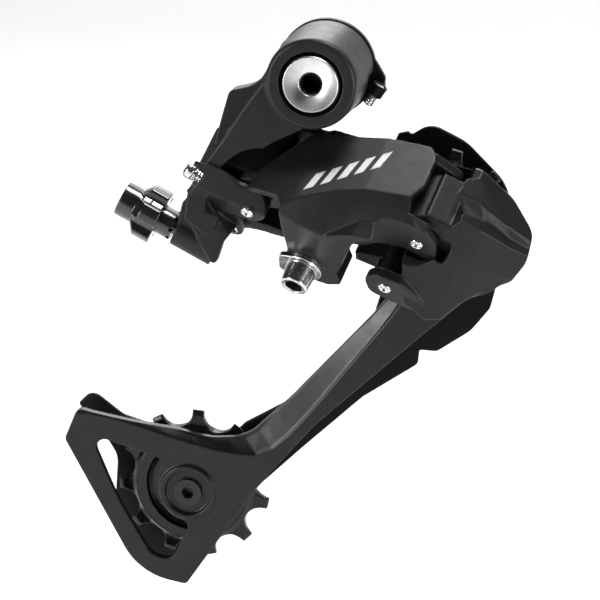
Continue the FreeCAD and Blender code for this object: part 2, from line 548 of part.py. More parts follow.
top_eye = at_front(slab([(OFF_X - 4.8, OFF_Y + 4.8, 4.7), (OFF_X - 4.8, OFF_Y - 4.8, 4.7),
                         (OFF_X + 8, OFF_Y - 6, 2), (OFF_X + 22, OFF_Y - 4, 0),
                         (OFF_X + 22, OFF_Y + 8, 0), (OFF_X + 6, OFF_Y + 7, 2)], -17.3, -14.3))
body = join(body, outer_eye, outer_arm, lobe, lobe_root, lobe_wall, top_eye)
body = body.cut([at_front(post(0, 0, -3.3, 9, 6.4)), at_front(post(0, 0, -3.3, 0.5, 9.3)),
                 at_front(post(0, 0, -30, -20.7, 6.4)), at_front(post(OFF_X, OFF_Y, -14.3, 5.3, 6.6))])
body = body.cut([at_front(post(0, 0, -30, 10, LINK_PIN_R + FIX_GAP)),
                 at_front(post(OFF_X, OFF_Y, -30, 10, LINK_PIN_R + FIX_GAP))])
body = body.cut([cage_rod(-12, 0, 9.6), cage_rod(-18.6, 0, CAGE_AXLE_R + RUN_GAP)])

# groove in the back of the knuckle that the stop pin of the cage runs in
GROOVE_R = 1.6
sector = [Vector(0, -6, 0)]
for k in range(11):
    a = math.radians(STOP_ANGLE + CAGE_SWING * k / 10)
    sector.append(Vector(20 * math.cos(a), -6, 20 * math.sin(a)))
sector = Part.Face(Part.makePolygon(sector + [sector[0]])).extrude(Vector(0, 8, 0))
sector.translate(Vector(CAGE_AXIS[0], 0, CAGE_AXIS[1]))
groove = cage_tube(-4.6, 0, STOP_R + GROOVE_R, STOP_R - GROOVE_R).common(sector)
body = body.cut([groove, stop_rod(STOP_ANGLE, -4.6, 0, GROOVE_R),
                 stop_rod(STOP_ANGLE + CAGE_SWING, -4.6, 0, GROOVE_R)])
body = body.cut(Part.makeBox(200, 20, 200, Vector(-60, 0.6, -150)))
save(body, "plate_body")

front_pins = Part.makeCompound([at_front(post(0, 0, -24.4, 0.3, LINK_PIN_R)),
                                at_front(post(OFF_X, OFF_Y, -17.6, 8.8, LINK_PIN_R))])
save(front_pins, "front_pivot_pins")
spring = coil(7.6, 1.0, 2.5, 7.5)
save(along(spring, Vector(CAGE_AXIS[0], -10.6, CAGE_AXIS[1]), Vector(0, 1, 0)), "plate_spring")

# ---------------------------------------------------------------- chain cage
Y0, Y1 = OUTER_PLATE_Y
INNER0, INNER1 = INNER_PLATE_Y
save(join(cage_rod(-18.2, 5.0, CAGE_AXLE_R), cage_rod(Y1 + FIX_GAP, 5.0, 5.2)), "plate_axle")
save(stop_rod(STOP_ANGLE, -4.2, Y1, STOP_PIN_R), "cage_stop_pin")

outer_outline = [(-79.4, -111.6, 2), (-50, -116.4, 0), (-37, -118.8, 14), (-26, -117.6, 14),
                 (-11.7, -103.4, 60), (13.4, -75.4, 0), (21, -66, 16), (22.5, -48, 13), (34, -34.5, 13),
                 (48, -31, 14), (60.5, -44, 12), (50, -60, 16), (38, -72, 10), (27.4, -81.7, 0),
                 (-3.9, -111.3, 60), (-21.8, -132.6, 0), (-45.2, -167.6, 1.6), (-60.5, -165, 20),
                 (-83.6, -121.6, 2)]
opening = [(-75.6, -119.4, 3), (-52, -126.2, 2), (-53.6, -131, 3), (-53.8, -138, 8), (-49.6, -145, 7),
           (-43.6, -146.6, 2), (-49.6, -159.6, 3.4), (-56.4, -158.6, 6), (-67.2, -140.2, 90)]
plate = side_slab(outer_outline, Y0, 6.0)
crease = [(-80.5, -112.9), (-50, -118.4), (-30, -122.5), (-21.5, -122.4), (-11.7, -115.1), (8, -90.3),
          (22, -71.4), (26, -64)]
rim = [(-79.4, -111.2), (-50, -116.2), (-33, -119.4), (-24, -116.6), (-17.6, -109.6), (0, -89.3), (15, -72.9),
       (20, -66)]


def stations(points, count):
    """Evenly spaced places on a smooth curve through (x, z) points."""
    curve = Part.BSplineCurve()
    curve.interpolate([Vector(x, 0, z) for x, z in points])
    first = curve.FirstParameter
    step = (curve.LastParameter - first) / (count - 1)
    return [curve.value(first + step * k) for k in range(count)]


def edge_wedge(y_crease, y_step, y_rim, y_far, reach):
    """Wedge along the rear edge of the plate: a steep step beside its crease, then a slope to its rim."""
    wires = []
    for inner, outer in zip(stations(crease, 24), stations(rim, 24)):
        across = Vector(outer - inner).normalize()
        foot = inner + across * 0.7
        end = outer + across * reach
        pts = [inner + Vector(0, y_crease, 0), foot + Vector(0, y_step, 0), outer + Vector(0, y_rim, 0),
               end + Vector(0, y_rim, 0), end + Vector(0, y_far, 0), inner + Vector(0, y_far, 0)]
        wires.append(Part.makePolygon(pts + [pts[0]]))
    return Part.makeLoft(wires, True, True)


plate = plate.cut(edge_wedge(Y0, Y0 + 0.5, Y0 + 2.6, -3, 6))
behind = side_slab(outer_outline, Y1, 7).cut(edge_wedge(Y1, Y1 + 0.5, 6.4, -3, 8))
plate = plate.cut([behind, side_slab(opening, -5, 9)])
plate = plate.fuse([at_pulley(TENSION, 0.3, Y1, 8.9), at_pulley(GUIDE, Y0, Y1, 8)])
plate = plate.cut([at_pulley(TENSION, -1, 1.7, 7.2), at_pulley(TENSION, -1, 9, CAGE_BOLT_R + FIX_GAP)])
plate = plate.cut([at_pulley(GUIDE, -1, 9, CAGE_BOLT_R + FIX_GAP), cage_rod(-1, 9, CAGE_AXLE_R + FIX_GAP)])
plate = plate.cut(stop_rod(STOP_ANGLE, -5, 9, STOP_PIN_R + FIX_GAP)).removeSplitter()
save(plate, "outer_cage_plate")

inner_outline = [(22, -23.1, 1), (28, -19.2, 6), (38.8, -24.4, 14), (50.5, -36, 14), (54.8, -50, 12),
                 (48.4, -69.5, 3), (47, -75.5, 4), (41.2, -83, 10), (31, -90.2, 3), (25.6, -90, 0.8),
                 (25.2, -94.6, 2), (8.2, -106.4, 0), (-10.1, -123.8, 0), (-23.5, -137, 8),
                 (-36, -152, 8), (-46, -160, 6), (-53, -168, 6), (-66, -160, 8), (-71.6, -144.6, 6),
                 (-70.6, -131.5, 8),
                 (-75, -124.5, 6), (-83.2, -114.8, 1), (-78.6, -110.2, 3.4), (-68.7, -117.6, 6),
                 (-50, -123, 10), (-35, -123.4, 6), (-29, -117.4, 2), (-15, -109, 6), (11, -81, 10),
                 (15.4, -66, 10), (12, -50, 14), (15, -33, 10), (17.6, -24.4, 1), (18.4, -22.6, 0.5),
                 (21.4, -21.9, 0.5)]
plate = side_slab(inner_outline, INNER0, INNER1)
plate = plate.cut([at_pulley(TENSION, 10, 20, CAGE_BOLT_R + FIX_GAP),
                   at_pulley(GUIDE, 10, 20, CAGE_BOLT_R + FIX_GAP)])
save(plate, "inner_cage_plate")


def pulley(centre, phase):
    """Toothed jockey wheel with rounded gaps, a thick rim, a dished web and a wide hub."""
    half = TOOTH_W / 2
    tip_r = CHAIN_PITCH / 2 / math.sin(math.pi / TEETH) + TOOTH_ADDENDUM
    wheel = turned([(14.6, -half - 2), (18, -half - 1.8), (19.6, -half - 0.2), (tip_r - 1.4, -half + 0.1),
                    (tip_r, -half + 0.7), (tip_r, half - 0.7), (tip_r - 1.4, half - 0.1), (19.6, half + 0.2),
                    (18, half + 1.8), (14.6, half + 2)])
    gaps = []
    for k in range(TEETH):
        angle = math.radians(phase) + 2 * math.pi * (k + 0.5) / TEETH
        reach = TOOTH_ROOT_R + TOOTH_GAP_R
        gaps.append(y_rod(reach * math.cos(angle), reach * math.sin(angle), -5, 5, TOOTH_GAP_R))
    web = turned([(7, -2.6), (9, -1.4), (13, -1.2), (15, -2.2), (15, 2.2), (13, 1.2), (9, 1.4), (7, 2.6)])
    hub = y_tube(0, 0, -PULLEY_W / 2, PULLEY_W / 2, 8.6, 4.1)
    wheel = join(wheel.cut(gaps), web, hub)
    wheel.translate(Vector(centre[0], PULLEY_Y, centre[1]))
    return wheel


for name, centre, phase in (("guide", GUIDE, 10), ("tension", TENSION, -12.2)):
    x, z = centre
    wheel = pulley(centre, phase)
    save(wheel, name + "_pulley")
    sleeve = y_tube(x, z, Y1, INNER0, 4.05, CAGE_BOLT_R + RUN_GAP)
    save(sleeve, name + "_pulley_bushing")
    caps = []
    for y in (Y1 + 0.9, INNER0 - 2.1):
        caps.append(y_tube(x, z, y, y + 1.2, 7.1, 4.07))
    save(Part.makeCompound(caps), name + "_pulley_caps")

bolt = join(at_pulley(TENSION, 0.4, 1.65, 4.3), at_pulley(TENSION, 1.5, 17.8, CAGE_BOLT_R))
bolt = bolt.cut(along(hexagon(3.6, 3), Vector(TENSION[0], 0.3, TENSION[1]), Vector(0, 1, 0)))
save(bolt, "tension_pulley_bolt")
bolt = join(at_pulley(GUIDE, 17.05, 18.6, 4.3), at_pulley(GUIDE, 1.3, 17.2, CAGE_BOLT_R))
bolt = bolt.cut(along(hexagon(3.6, 3), Vector(GUIDE[0], 18.7, GUIDE[1]), Vector(0, -1, 0)))
save(bolt, "guide_pulley_bolt")
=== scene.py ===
"""Looks of the rear derailleur: rounded castings, surface finishes, studio light and camera. Metres."""
import bmesh
import bpy
import json
import math
from mathutils import Matrix, Vector


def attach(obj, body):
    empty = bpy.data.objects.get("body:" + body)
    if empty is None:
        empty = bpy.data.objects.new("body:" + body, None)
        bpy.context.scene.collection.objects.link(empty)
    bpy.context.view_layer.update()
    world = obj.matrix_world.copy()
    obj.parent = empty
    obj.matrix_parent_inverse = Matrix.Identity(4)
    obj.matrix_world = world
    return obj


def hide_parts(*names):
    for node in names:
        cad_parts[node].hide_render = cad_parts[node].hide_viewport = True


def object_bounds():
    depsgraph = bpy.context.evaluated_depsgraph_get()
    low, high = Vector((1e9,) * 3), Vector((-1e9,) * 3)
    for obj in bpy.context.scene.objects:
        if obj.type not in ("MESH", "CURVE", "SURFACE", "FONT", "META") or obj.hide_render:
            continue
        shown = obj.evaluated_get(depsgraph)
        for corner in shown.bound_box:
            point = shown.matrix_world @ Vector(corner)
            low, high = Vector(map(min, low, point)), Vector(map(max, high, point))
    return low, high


MM = 0.001
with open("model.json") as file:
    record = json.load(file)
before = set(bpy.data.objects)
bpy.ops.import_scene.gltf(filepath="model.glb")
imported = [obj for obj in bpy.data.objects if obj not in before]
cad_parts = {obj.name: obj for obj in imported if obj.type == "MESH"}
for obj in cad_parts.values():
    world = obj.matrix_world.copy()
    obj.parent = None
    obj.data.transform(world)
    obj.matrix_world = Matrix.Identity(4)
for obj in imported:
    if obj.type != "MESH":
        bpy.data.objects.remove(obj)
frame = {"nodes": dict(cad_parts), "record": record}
CAD_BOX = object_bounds()
NODES = frame["nodes"]
BODY_OF = {node: body for body, nodes in frame["record"]["behaviour"]["bodies"].items() for node in nodes}
SLOT_OF = {row["node"]: row["material_slot"] for row in frame["record"]["subparts"]}
JOINTS = {row["name"]: row for row in frame["record"]["behaviour"]["joints"]}
RELAX_FACTOR = 0.5               # share of each smoothing pass on a rounded piece
KEPT_FACES = 0.5                 # share of the remeshed faces that stay
SHARP_ANGLE = math.radians(38)   # edges of turned hardware sharper than this stay crisp
PAST = 1.0                       # mm that a cutter stands out of the face it cuts
HEX_KEY = 5.0                    # mm across the flats, mounting bolt and clamp bolt
SOCKET_DEPTH = 5                 # mm of socket wall that gets the dark finish of grease plus painted shade
FLOOR_DROP = 0.045               # room under the CAD box for the cage tip at full fold


# ---------------------------------------------------------------- material building blocks
class Finish:
    """One procedural material, built step by step on the shader's own sockets."""

    def __init__(self, name, colour, roughness, metallic=0.0):
        self.material = bpy.data.materials.new(name)
        self.material.use_nodes = True
        self.tree = self.material.node_tree
        self.shader = self.tree.nodes["Principled BSDF"]
        self.shader.inputs["Base Color"].default_value = (*colour, 1)
        self.shader.inputs["Roughness"].default_value = roughness
        self.shader.inputs["Metallic"].default_value = metallic
        self.height = None

    def node(self, kind, **inputs):
        made = self.tree.nodes.new(kind)
        for key, value in inputs.items():
            made.inputs[key.replace("_", " ")].default_value = value
        return made

    def link(self, start, end):
        self.tree.links.new(start, end)

    def place(self):
        return self.node("ShaderNodeTexCoord").outputs["Object"]

    def stretched(self, scale):
        """Object coordinates, stretched along the axes."""
        mapping = self.node("ShaderNodeMapping")
        mapping.inputs["Scale"].default_value = scale
        self.link(self.place(), mapping.inputs["Vector"])
        return mapping.outputs["Vector"]

    def noise(self, size_mm, detail=3.0, rough=0.55, vector=None):
        """Noise whose largest blobs are about size_mm across."""
        made = self.node("ShaderNodeTexNoise", Scale=1 / (size_mm * MM), Detail=detail, Roughness=rough)
        self.link(vector or self.place(), made.inputs["Vector"])
        return made.outputs["Fac"]

    def remap(self, value, low, high, to_low, to_high):
        made = self.node("ShaderNodeMapRange")
        for key, number in (("From Min", low), ("From Max", high), ("To Min", to_low), ("To Max", to_high)):
            made.inputs[key].default_value = number
        self.link(value, made.inputs["Value"])
        return made.outputs["Result"]

    def blend(self, fac, first, second):
        """Colour that goes from first to second as fac goes from 0 to 1."""
        made = self.tree.nodes.new("ShaderNodeMix")
        made.data_type = "RGBA"
        self.link(fac, made.inputs["Factor"])
        for socket, colour in ((made.inputs["A"], first), (made.inputs["B"], second)):
            if isinstance(colour, tuple):
                socket.default_value = (*colour, 1)
            else:
                self.link(colour, socket)
        return made.outputs["Result"]

    def worn_and_highlit_edges(self, radius_mm):
        """0 on flat ground, 1 on the sharpest outside edges, broken up by noise; the paler edges it gives are
        partly wear and partly a painted highlight.
        """
        bevel = self.node("ShaderNodeBevel", Radius=radius_mm * MM)
        bevel.samples = 6
        geometry = self.tree.nodes.new("ShaderNodeNewGeometry")
        dot = self.tree.nodes.new("ShaderNodeVectorMath")
        dot.operation = "DOT_PRODUCT"
        self.link(bevel.outputs["Normal"], dot.inputs[0])
        self.link(geometry.outputs["Normal"], dot.inputs[1])
        edge = self.remap(dot.outputs["Value"], 0.985, 0.85, 0.0, 1.0)
        convex = self.remap(geometry.outputs["Pointiness"], 0.51, 0.57, 0.0, 1.0)
        patchy = self.remap(self.noise(2.2, 4.0), 0.38, 0.62, 0.25, 1.0)
        return self.times(self.times(edge, convex), patchy)

    def times(self, first, second):
        made = self.tree.nodes.new("ShaderNodeMath")
        made.operation = "MULTIPLY"
        for socket, value in ((made.inputs[0], first), (made.inputs[1], second)):
            if isinstance(value, float):
                socket.default_value = value
            else:
                self.link(value, socket)
        return made.outputs["Value"]

    def bump(self, height, depth_mm, strength=1.0):
        """Adds a relief of that depth on top of the earlier ones."""
        made = self.node("ShaderNodeBump", Strength=strength, Distance=depth_mm * MM)
        self.link(height, made.inputs["Height"])
        if self.height:
            self.link(self.height, made.inputs["Normal"])
        self.height = made.outputs["Normal"]
        self.link(self.height, self.shader.inputs["Normal"])

    def colour(self, value):
        self.link(value, self.shader.inputs["Base Color"])

    def roughness(self, value):
        self.link(value, self.shader.inputs["Roughness"])


# ---------------------------------------------------------------- finishes for slots and single faces
def scaled(colour, factor):
    return tuple(c * factor for c in colour)


def casting(name, colour, light, rough, specular):
    """Satin black paint over a fine cast surface: slight mottling, grain, and paler edges that are partly
    wear and partly a painted highlight.
    """
    f = Finish(name, colour, rough)
    cloud = f.remap(f.noise(9, 3), 0.35, 0.65, 0.0, 1.0)
    speck = f.remap(f.noise(0.35, 2), 0.5, 0.75, 0.0, 0.5)
    base = f.blend(cloud, scaled(colour, 0.85), scaled(colour, 1.2))
    base = f.blend(speck, base, scaled(colour, 2.0))
    # edges blended towards the pale colour: partly wear, partly a painted highlight
    base = f.blend(f.times(f.worn_and_highlit_edges(0.3), 0.6), base, light)
    f.colour(base)
    f.roughness(f.remap(f.noise(3.5, 4), 0.3, 0.7, rough - 0.04, rough + 0.06))
    f.bump(f.noise(0.28, 2, 0.5), 0.012, 0.5)
    f.bump(f.noise(3.0, 3, 0.5), 0.03, 0.25)
    f.shader.inputs["Specular IOR Level"].default_value = specular
    return f.material


def painted_plate(name, colour, light, rough, specular):
    """Pressed steel plate under black paint: faint rolling lines, orange peel, and paler edges that are
    partly wear and partly a painted highlight.
    """
    f = Finish(name, colour, rough)
    lines = f.noise(0.6, 3, 0.6, f.stretched((0.12, 1.0, 1.0)))
    cloud = f.remap(f.noise(12, 3), 0.35, 0.65, 0.0, 1.0)
    base = f.blend(cloud, scaled(colour, 0.85), scaled(colour, 1.2))
    # edges blended towards the pale colour: partly wear, partly a painted highlight
    base = f.blend(f.times(f.worn_and_highlit_edges(0.25), 0.25), base, light)
    f.colour(base)
    f.roughness(f.remap(f.noise(5, 4), 0.3, 0.7, rough - 0.05, rough + 0.06))
    f.bump(lines, 0.004, 0.3)
    f.bump(f.noise(1.1, 2, 0.5), 0.01, 0.35)
    f.shader.inputs["Specular IOR Level"].default_value = specular
    return f.material


def moulded(name, colour, rough, grain_mm, specular, coat=0.0):
    """Moulded black resin with a fine grain, and paler edges that are partly scuffs and partly a painted
    highlight, under a gloss coat where it has one.
    """
    f = Finish(name, colour, rough)
    cloud = f.remap(f.noise(6, 3), 0.35, 0.65, 0.0, 1.0)
    base = f.blend(cloud, colour, scaled(colour, 1.5))
    # edges lightened: partly scuffs, partly a painted highlight
    f.colour(f.blend(f.times(f.worn_and_highlit_edges(0.2), 0.4), base, scaled(colour, 6)))
    f.roughness(f.remap(f.noise(2, 4), 0.3, 0.7, rough - 0.05, rough + 0.07))
    f.bump(f.noise(grain_mm, 2, 0.5), 0.01, 0.3)
    f.shader.inputs["Specular IOR Level"].default_value = specular
    f.shader.inputs["Coat Weight"].default_value = coat
    f.shader.inputs["Coat Roughness"].default_value = 0.12
    return f.material


def bright_metal(name, colour, rough, brushed=0.0, hollow=0.0):
    """Plated steel with small stains and hairline scratches. A turned face is brushed about the Y axis,
    and is dark closer to it than hollow, in mm: old grease plus painted shade inside the socket."""
    f = Finish(name, colour, rough, 1.0)
    stain = f.remap(f.noise(3.0, 4), 0.45, 0.75, 0.0, 1.0)
    tint = f.blend(stain, colour, scaled(colour, 0.8))
    hair = f.noise(0.9, 3, 0.6, f.stretched((0.3, 1.0, 1.4)))
    shine = f.remap(hair, 0.3, 0.7, rough - 0.05, rough + 0.06)
    if hollow:
        across = f.tree.nodes.new("ShaderNodeVectorMath")
        across.operation = "LENGTH"
        f.link(f.stretched((1.0, 0.0, 1.0)), across.inputs[0])
        inside = f.remap(across.outputs["Value"], hollow * MM, (hollow - 0.15) * MM, 0.0, 1.0)
        # dark inside the socket: grease plus painted shade in the recess
        tint = f.blend(inside, tint, GREASE_AND_SHADE)
        shine = f.remap(inside, 0.0, 1.0, rough, 0.5)
    f.colour(tint)
    f.roughness(shine)
    f.bump(f.noise(0.7, 2, 0.5), 0.003, 0.2)
    if brushed:
        tangent = f.tree.nodes.new("ShaderNodeTangent")
        tangent.direction_type = "RADIAL"
        tangent.axis = "Y"
        f.link(tangent.outputs["Tangent"], f.shader.inputs["Tangent"])
        f.shader.inputs["Anisotropic"].default_value = brushed
    return f.material


# dark colour inside tool sockets: grease plus painted shade in the recess
GREASE_AND_SHADE = (0.012, 0.012, 0.012)
# pale colours of the edges: partly wear, partly a painted highlight
PALE_EDGE = (0.11, 0.11, 0.115)
DARK_EDGE = (0.03, 0.03, 0.032)
FINISHES = {
    "satin_black_casting": casting("satin_black_casting", (0.009, 0.0091, 0.0095), PALE_EDGE, 0.4, 0.3),
    "satin_black_plate": painted_plate("satin_black_plate", (0.008, 0.0081, 0.0085), PALE_EDGE, 0.3, 0.35),
    "black_steel_plate": painted_plate("black_steel_plate", (0.003, 0.003, 0.0032), DARK_EDGE, 0.38, 0.15),
    "black_adjuster": moulded("black_adjuster", (0.008, 0.008, 0.0085), 0.22, 0.5, 0.5, 1.0),
    "pulley_resin": moulded("pulley_resin", (0.003, 0.003, 0.0033), 0.24, 0.3, 0.4),
    "bushing_steel": bright_metal("bushing_steel", (0.55, 0.55, 0.56), 0.3),
    "spring_steel": bright_metal("spring_steel", (0.3, 0.3, 0.31), 0.35),
    "bright_steel": bright_metal("bright_steel", (0.78, 0.78, 0.79), 0.22),
    "black_bolt": moulded("black_bolt", (0.012, 0.012, 0.0125), 0.3, 0.25, 0.4),
}
# its socket, within 3.35 mm of the axis, gets grease plus painted shade
FINISHES["turned_steel"] = bright_metal("turned_steel", (0.82, 0.82, 0.83), 0.26, 0.7, 3.35)
# socket walls of the clamp bolt: grease plus painted shade
FINISHES["dark_socket"] = moulded("dark_socket", GREASE_AND_SHADE, 0.45, 0.4, 0.3)


def wear(piece, slot):
    piece.data.materials.clear()
    piece.data.materials.append(FINISHES[slot])


for name, node in NODES.items():
    wear(node, SLOT_OF[name])


# ---------------------------------------------------------------- rounded castings, plates and wheels
def rounded(name, voxel_mm, passes):
    """A piece with softened edges: the CAD solid remeshed finely and relaxed. It stands for its node."""
    piece = bpy.data.objects.new(name + "_rounded", NODES[name].data.copy())
    bpy.context.scene.collection.objects.link(piece)
    remesh = piece.modifiers.new("remesh", "REMESH")
    remesh.mode = "VOXEL"
    remesh.voxel_size = voxel_mm * MM
    relax = piece.modifiers.new("relax", "SMOOTH")
    relax.iterations = passes
    relax.factor = RELAX_FACTOR
    thin = piece.modifiers.new("thin", "DECIMATE")
    thin.ratio = KEPT_FACES
    depsgraph = bpy.context.evaluated_depsgraph_get()
    mesh = bpy.data.meshes.new_from_object(piece.evaluated_get(depsgraph))
    piece.modifiers.clear()
    piece.data = mesh
    mesh.shade_smooth()
    wear(piece, SLOT_OF[name])
    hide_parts(name)
    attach(piece, BODY_OF[name])


# node, voxel in mm, smoothing passes
ROUNDED = (
    ("bracket_body", 0.3, 8), ("outer_link", 0.3, 8), ("plate_body", 0.3, 14),
    ("outer_cage_plate", 0.26, 6), ("inner_cage_plate", 0.27, 4), ("inner_link", 0.3, 4),
    ("adjuster_knob", 0.2, 4), ("stopper_plate", 0.25, 2), ("cable_clamp_washer", 0.15, 3),
    ("guide_pulley", 0.3, 2), ("tension_pulley", 0.25, 2),
)
for name, voxel, passes in ROUNDED:
    rounded(name, voxel, passes)


# ---------------------------------------------------------------- plain printed bars on the outer link
def printed(name, colour):
    """Pale printed ink, slightly thin in places."""
    f = Finish(name, colour, 0.4)
    thin = f.remap(f.noise(1.2, 4), 0.55, 0.75, 0.0, 0.6)
    f.colour(f.blend(thin, colour, scaled(colour, 0.35)))
    f.roughness(f.remap(f.noise(2, 3), 0.3, 0.7, 0.35, 0.5))
    f.bump(f.noise(0.4, 2), 0.004, 0.3)
    return f.material


FINISHES["printed_ink"] = printed("printed_ink", (0.6, 0.6, 0.61))


def printed_bars():
    """Five slanted bars in place of lettering, laid on the upper face of the link."""
    link = bpy.data.objects["outer_link_rounded"]
    rear = Vector(JOINTS["outer_link_pivot"]["pos_m"])
    along = (Vector(JOINTS["lower_knuckle_pivot"]["pos_m"]) - rear).normalized()
    across = -Vector(JOINTS["outer_link_pivot"]["axis"]).normalized()
    out = across.cross(along).normalized()
    depsgraph = bpy.context.evaluated_depsgraph_get()
    bars, steps = 5, 6
    first, width, pitch = 15.5, 2.3, 3.9     # mm along the link
    lean, tall = 1.5, 5.0                    # mm that a bar leans over its height
    top, top_at, slope = 12.0, 13.3, 0.78    # the line of the bars' tops, falling along the link
    away, lift, ink = 30, 0.04, 0.05         # mm: where rays start, gap under the ink, its thickness
    work = bmesh.new()
    for bar in range(bars):
        start = first + pitch * bar
        grid = []
        for row in range(steps + 1):
            up = row / steps
            line = []
            for col in range(steps + 1):
                x = start + width * col / steps + lean * up
                z = top - slope * (x - top_at) - tall * up
                origin = rear + (along * x + across * z + out * away) * MM
                place, normal = link.ray_cast(origin, -out, depsgraph=depsgraph)[1:3]
                line.append(work.verts.new(place + normal * lift * MM))
            grid.append(line)
        for row in range(steps):
            for col in range(steps):
                here, above = grid[row], grid[row + 1]
                work.faces.new((here[col], here[col + 1], above[col + 1], above[col]))
    bmesh.ops.recalc_face_normals(work, faces=work.faces)
    bmesh.ops.solidify(work, geom=work.faces[:], thickness=ink * MM)
    mesh = bpy.data.meshes.new("printed_bars")
    work.to_mesh(mesh)
    work.free()
    piece = bpy.data.objects.new("printed_bars", mesh)
    bpy.context.scene.collection.objects.link(piece)
    mesh.shade_smooth()
    wear(piece, "printed_ink")
    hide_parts("outer_link")
    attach(piece, BODY_OF["outer_link"])


printed_bars()


# ---------------------------------------------------------------- turned hardware
def eased(corners, ease):
    """A profile with a small round at each corner but its two ends."""
    out = [corners[0]]
    for before, here, after in zip(corners[:-2], corners[1:-1], corners[2:]):
        before, here, after = Vector(before), Vector(here), Vector(after)
        cut = min(ease, 0.4 * (here - before).length, 0.4 * (after - here).length)
        first = here + (before - here).normalized() * cut
        last = here + (after - here).normalized() * cut
        out += [tuple(first), tuple((first + last) / 4 + here / 2), tuple(last)]
    return out + [corners[-1]]


def turned(corners, ease=0.12, thread=None, sides=56):
    """Mesh turned about +Z from (radius, height) corners in mm. thread is (low, high, pitch, depth) of a
    helical groove cut between two heights."""
    profile = eased(corners, ease)
    rows = []
    for (r0, z0), (r1, z1) in zip(profile[:-1], profile[1:]):
        steps = 1
        if thread and abs(z1 - z0) > thread[2]:
            steps = round(abs(z1 - z0) / thread[2] * 8)
        rows += [(r0 + (r1 - r0) * k / steps, z0 + (z1 - z0) * k / steps) for k in range(steps)]
    rows.append(profile[-1])
    work = bmesh.new()
    rings = []
    for r, z in rows:
        if r < 1e-6:
            rings.append([work.verts.new((0, 0, z))] * sides)
            continue
        ring = []
        for k in range(sides):
            angle = 2 * math.pi * k / sides
            radius = r
            if thread and thread[0] <= z <= thread[1]:
                turn = (z / thread[2] - k / sides) % 1.0
                radius = r - thread[3] * (1 - abs(2 * turn - 1)) * min(1, (thread[1] - z) / thread[2])
            ring.append(work.verts.new((radius * math.cos(angle), radius * math.sin(angle), z)))
        rings.append(ring)
    for low, high in zip(rings[:-1], rings[1:]):
        for k in range(sides):
            corners = []
            for vert in (low[k], low[k - 1], high[k - 1], high[k]):
                if vert not in corners:
                    corners.append(vert)
            if len(corners) > 2:
                work.faces.new(corners)
    return work


def prism(sides, across_flats, low, high, turn=0.0):
    """Mesh prism about +Z for a tool socket, in mm."""
    work = bmesh.new()
    r = across_flats / 2 / math.cos(math.pi / sides)
    spots = [(r * math.cos(turn + 2 * math.pi * k / sides), r * math.sin(turn + 2 * math.pi * k / sides))
             for k in range(sides)]
    rings = [[work.verts.new((x, y, z)) for x, y in spots] for z in (low, high)]
    work.faces.new(rings[0][::-1])
    work.faces.new(rings[1])
    for k in range(sides):
        work.faces.new((rings[0][k - 1], rings[0][k], rings[1][k], rings[1][k - 1]))
    return work


def plain_object(name, work):
    bmesh.ops.recalc_face_normals(work, faces=work.faces)
    mesh = bpy.data.meshes.new(name)
    work.to_mesh(mesh)
    work.free()
    piece = bpy.data.objects.new(name, mesh)
    bpy.context.scene.collection.objects.link(piece)
    return piece


def carved(name, work, cutters):
    """The turned mesh with each cutter taken out of it."""
    piece = plain_object(name, work)
    tools = [plain_object(name + "_cut", cutter) for cutter in cutters]
    for tool in tools:
        cut = piece.modifiers.new("cut", "BOOLEAN")
        cut.operation = "DIFFERENCE"
        cut.solver = "EXACT"
        cut.object = tool
    mesh = bpy.data.meshes.new_from_object(piece.evaluated_get(bpy.context.evaluated_depsgraph_get()))
    piece.modifiers.clear()
    piece.data = mesh
    for tool in tools:
        bpy.data.objects.remove(tool)
    return piece


def axis_frame(point, direction):
    """Matrix that takes a mesh in mm, modelled along +Z, to a point and direction in metres."""
    turn = direction.normalized().to_track_quat("Z", "Y").to_matrix().to_4x4()
    return Matrix.Translation(point) @ turn @ Matrix.Scale(MM, 4)


def reach(node, point, direction, low_r, high_r):
    """Lowest and highest place, in mm along an axis, of a CAD node's points between two distances from it."""
    direction = direction.normalized()
    along = []
    for vert in NODES[node].data.vertices:
        offset = vert.co - point
        place = offset.dot(direction)
        if low_r * MM < (offset - direction * place).length < high_r * MM:
            along.append(place / MM)
    return min(along), max(along)


def fit_out(piece, node, slot, matrix):
    """Puts a finished piece in the frame, in place of its CAD node."""
    piece.data.transform(matrix)
    piece.data.shade_smooth()
    piece.data.set_sharp_from_angle(angle=SHARP_ANGLE)
    wear(piece, slot)
    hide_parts(node)
    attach(piece, BODY_OF[node])


def line_of(joint):
    """Point and direction of a joint's axis."""
    return Vector(JOINTS[joint]["pos_m"]), Vector(JOINTS[joint]["axis"]).normalized()


def rivets():
    """Tubular rivets on the four link pivots: a rolled rim round a dished end with a small punch mark."""
    rear_outer, down = line_of("outer_link_pivot")
    across = -down
    rear_inner = line_of("inner_link_pivot")[0]
    front_outer = line_of("lower_knuckle_pivot")[0]
    front_inner = front_outer + rear_inner - rear_outer
    pins = (("rear_pivot_pins", rear_outer, "outer"), ("rear_pivot_pins", rear_inner, "inner"),
            ("front_pivot_pins", front_outer, "outer"), ("front_pivot_pins", front_inner, "inner"))
    for node, point, tag in pins:
        low, high = reach(node, point, across, 1.8, 2.2)
        end = [(0.0, 0.30), (0.45, 0.30), (0.6, 0.62), (1.15, 0.72), (1.4, 0.1), (1.7, 0.0), (2.0, 0.35)]
        profile = [(r, low + z) for r, z in end] + [(r, high - z) for r, z in reversed(end)]
        piece = plain_object(f"{node}_{tag}_rivet", turned(profile, 0.08))
        fit_out(piece, node, "bright_steel", axis_frame(point, across))


